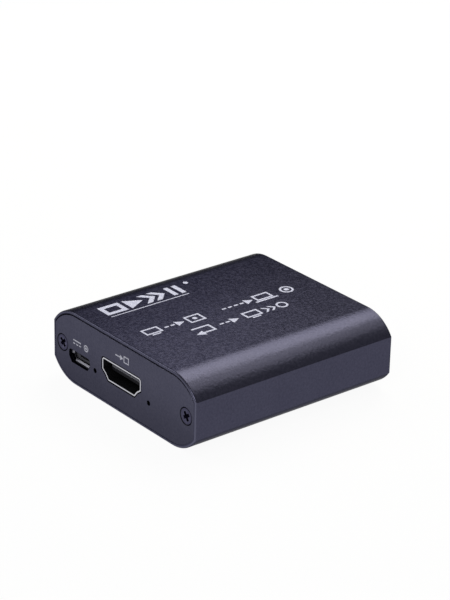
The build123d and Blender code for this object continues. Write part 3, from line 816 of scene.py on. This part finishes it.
def addPlate(name):
    box, (low, high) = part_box("case_tube"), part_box(name)
    side = -1 if low.y < 0 else 1
    face = low.y if side < 0 else high.y
    piece = copyNode(name, name + "_rounded")
    choose("VERT", lambda vert: depthInOutline(vert.co, box) < edges["plateDeep"])
    bpy.ops.transform.resize(value=edges["plateFit"], center_override=edges["fitMiddle"])
    near, grow = edges["pinhole"]
    for centre in lightPlaces() if side < 0 else []:
        choose("VERT", lambda vert: (vert.co.xz - centre.xz).length < near)
        bpy.ops.transform.resize(value=(grow, 1, grow), center_override=centre)

    def onFace(edge):
        return turned(edge) and all(abs(corner.co.y - face) < edges["same"] for corner in edge.verts)

    def onOutline(edge):
        return all(depthInOutline(corner.co, box) < edges["plateDeep"] for corner in edge.verts)

    choose("EDGE", lambda edge: onFace(edge) and not onOutline(edge))
    soften(*edges["cutRound"])
    choose("EDGE", lambda edge: onFace(edge) and onOutline(edge))
    soften(*edges["plateRound"])
    closePiece(piece, name)


# The power socket's shell, with its four flaps flared further out

flaps = {
    "length": 0.0007,
    "shorter": (1, 0.55, 1),
    "grow": (1.034, 1.0, 1.10),
    "halfGrow": (1.017, 1.0, 1.05),
    "near": 0.00001,
}


def addPowerShell():
    low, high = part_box("power_socket_shell")
    tip, root = low.y + flaps["near"], low.y + flaps["length"]
    piece = copyNode("power_socket_shell", "power_socket_shell_flared")
    bottom = min(vert.co.z for vert in bmesh.from_edit_mesh(piece.data).verts if vert.co.y < tip)
    middle = Vector(((low.x + high.x) / 2, low.y, (bottom + high.z) / 2))
    choose("VERT", lambda vert: vert.co.y < tip)
    bpy.ops.transform.resize(value=flaps["grow"], center_override=middle)
    choose("VERT", lambda vert: tip < vert.co.y < root - flaps["near"])
    bpy.ops.transform.resize(value=flaps["halfGrow"], center_override=middle)
    choose("VERT", lambda vert: vert.co.y < root + flaps["near"])
    bpy.ops.transform.resize(value=flaps["shorter"], center_override=middle)
    closePiece(piece, "power_socket_shell")


# Cross-recess screws, in place of the plain cones

screwLook = {
    "faces": 64,
    "raise": 0.0001,
    "headDepth": 0.0007,
    "coreRadius": 0.00104,
    "threadRadius": 0.00125,
    "threadPitch": 0.00045,
    "threadTurns": 15,
    "threadSteps": 24,
    "tip": (0.0005, 0.7),  # its length, and the share of the core's radius at which it ends
    "edgeRound": (0.00011, 3),
    "headEdge": 0.98,  # what lies further out than this share of the radius is rounded
    "dish": (0.00028, 0.00004),  # how far in from the edge the face dips, and how deep
    "armReach": 0.00185,
    "armWidth": 0.00102,
    "armDepth": 0.00105,
    "armTaper": (0.34, 0.55, 1),
    "pit": (0.00098, 0.00030, 0.00168, 24),  # its radius above and below, depth and faces
    "facing": 0.9,  # a face looks up or down where its normal's height is more than this
    "smooth": math.radians(32),
    "turns": {"front_plate_screws": (44, 33), "rear_plate_screws": (12, 71)},
}


def cutAway(piece, tool):
    only(piece)
    cut = piece.modifiers.new("cut", "BOOLEAN")
    cut.operation, cut.solver, cut.object = "DIFFERENCE", "EXACT", tool
    bpy.ops.object.modifier_apply(modifier=cut.name)
    bpy.data.objects.remove(tool)


def addRecessArm(turn):
    look = screwLook
    bpy.ops.mesh.primitive_cube_add(size=1, location=(0, 0, 0))
    arm = bpy.context.object
    arm.scale = (2 * look["armReach"], look["armWidth"], 2 * look["armDepth"])
    applyPlace()
    bpy.ops.object.mode_set(mode="EDIT")
    choose("FACE", lambda face: face.normal.z < -look["facing"])
    bpy.ops.transform.resize(value=look["armTaper"])
    bpy.ops.object.mode_set(mode="OBJECT")
    arm.rotation_euler.z = math.radians(turn)
    applyPlace()
    return arm


def addThread():
    look = screwLook
    core, pitch = look["coreRadius"], look["threadPitch"]
    bpy.ops.mesh.primitive_circle_add(
        vertices=3, radius=look["threadRadius"] - core, location=(core, 0, -look["headDepth"] - pitch),
        rotation=(math.radians(90), math.radians(90), 0),
    )
    thread = bpy.context.object
    applyPlace()
    wind = thread.modifiers.new("wind", "SCREW")
    wind.axis, wind.steps, wind.render_steps = "Z", look["threadSteps"], look["threadSteps"]
    wind.iterations, wind.screw_offset = look["threadTurns"], -pitch
    wind.use_merge_vertices = True
    bpy.ops.object.modifier_apply(modifier=wind.name)
    bpy.ops.object.mode_set(mode="EDIT")
    bpy.ops.mesh.select_all(action="SELECT")
    bpy.ops.mesh.remove_doubles(threshold=edges["same"])
    bpy.ops.mesh.fill_holes(sides=3)
    bpy.ops.mesh.normals_make_consistent(inside=False)
    bpy.ops.object.mode_set(mode="OBJECT")
    return thread


def addScrew(headRadius, length):  # it stands on its tip, with the middle of its face at the origin
    look = screwLook
    deep, facing = look["headDepth"], look["facing"]
    bpy.ops.mesh.primitive_cylinder_add(
        vertices=look["faces"], radius=headRadius, depth=deep, location=(0, 0, -deep / 2)
    )
    screw = bpy.context.object
    applyPlace()
    bpy.ops.object.mode_set(mode="EDIT")
    choose("FACE", lambda face: face.normal.z < -facing)
    narrow = look["coreRadius"] / headRadius
    bpy.ops.transform.resize(value=(narrow, narrow, 1))
    tip, tipShare = look["tip"]
    push(0, 0, deep + tip - length)
    push(0, 0, -tip)
    bpy.ops.transform.resize(value=(tipShare, tipShare, 1))
    choose("FACE", lambda face: face.normal.z > facing)
    dishIn, dishDeep = look["dish"]
    bpy.ops.mesh.inset(thickness=dishIn, depth=-dishDeep)

    def onHeadEdge(vert):
        return abs(vert.co.z) < edges["same"] and vert.co.xy.length > headRadius * look["headEdge"]

    choose("EDGE", lambda edge: all(onHeadEdge(corner) for corner in edge.verts))
    soften(*look["edgeRound"])
    bpy.ops.object.mode_set(mode="OBJECT")
    cutAway(screw, addRecessArm(0))
    cutAway(screw, addRecessArm(90))
    above, below, depth, faces = look["pit"]
    bpy.ops.mesh.primitive_cone_add(
        vertices=faces, radius1=below, radius2=above, depth=depth, location=(0, 0, 0)
    )
    cutAway(screw, bpy.context.object)
    thread = addThread()
    only(screw)
    thread.select_set(True)
    bpy.ops.object.join()
    bpy.ops.object.shade_smooth_by_angle(angle=look["smooth"])
    return screw


def addScrews():
    for name, turns in screwLook["turns"].items():
        low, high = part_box(name)
        radius = (high.z - low.z) / 2
        model = addScrew(radius, high.y - low.y)
        facing = 0 if low.y < 0 else 180
        face = low.y - screwLook["raise"] if low.y < 0 else high.y + screwLook["raise"]
        lie = Matrix.Rotation(math.radians(facing), 4, "Z") @ Matrix.Rotation(math.radians(90), 4, "X")
        pair = []
        for side, turn in zip((-1, 1), turns):
            screw = model.copy()
            screw.data = model.data.copy()
            bpy.context.scene.collection.objects.link(screw)
            place = Matrix.Translation((side * (high.x - radius), face, (low.z + high.z) / 2))
            screw.data.transform(place @ lie @ Matrix.Rotation(math.radians(turn), 4, "Z"))
            pair.append(screw)
        bpy.data.objects.remove(model)
        only(pair[0])
        pair[1].select_set(True)
        bpy.ops.object.join()
        pair[0].name = name.replace("_plate_", "_cross_recess_")
        pair[0].data.materials.clear()
        pair[0].data.materials.append(finishes["screw_black"])
        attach(pair[0], "root")
        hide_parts(name)
    bpy.ops.object.select_all(action="DESELECT")


addCase()
addPowerShell()
addPlate("front_plate")
addPlate("rear_plate")
print("edges rounded")
addScrews()
print("screws made")
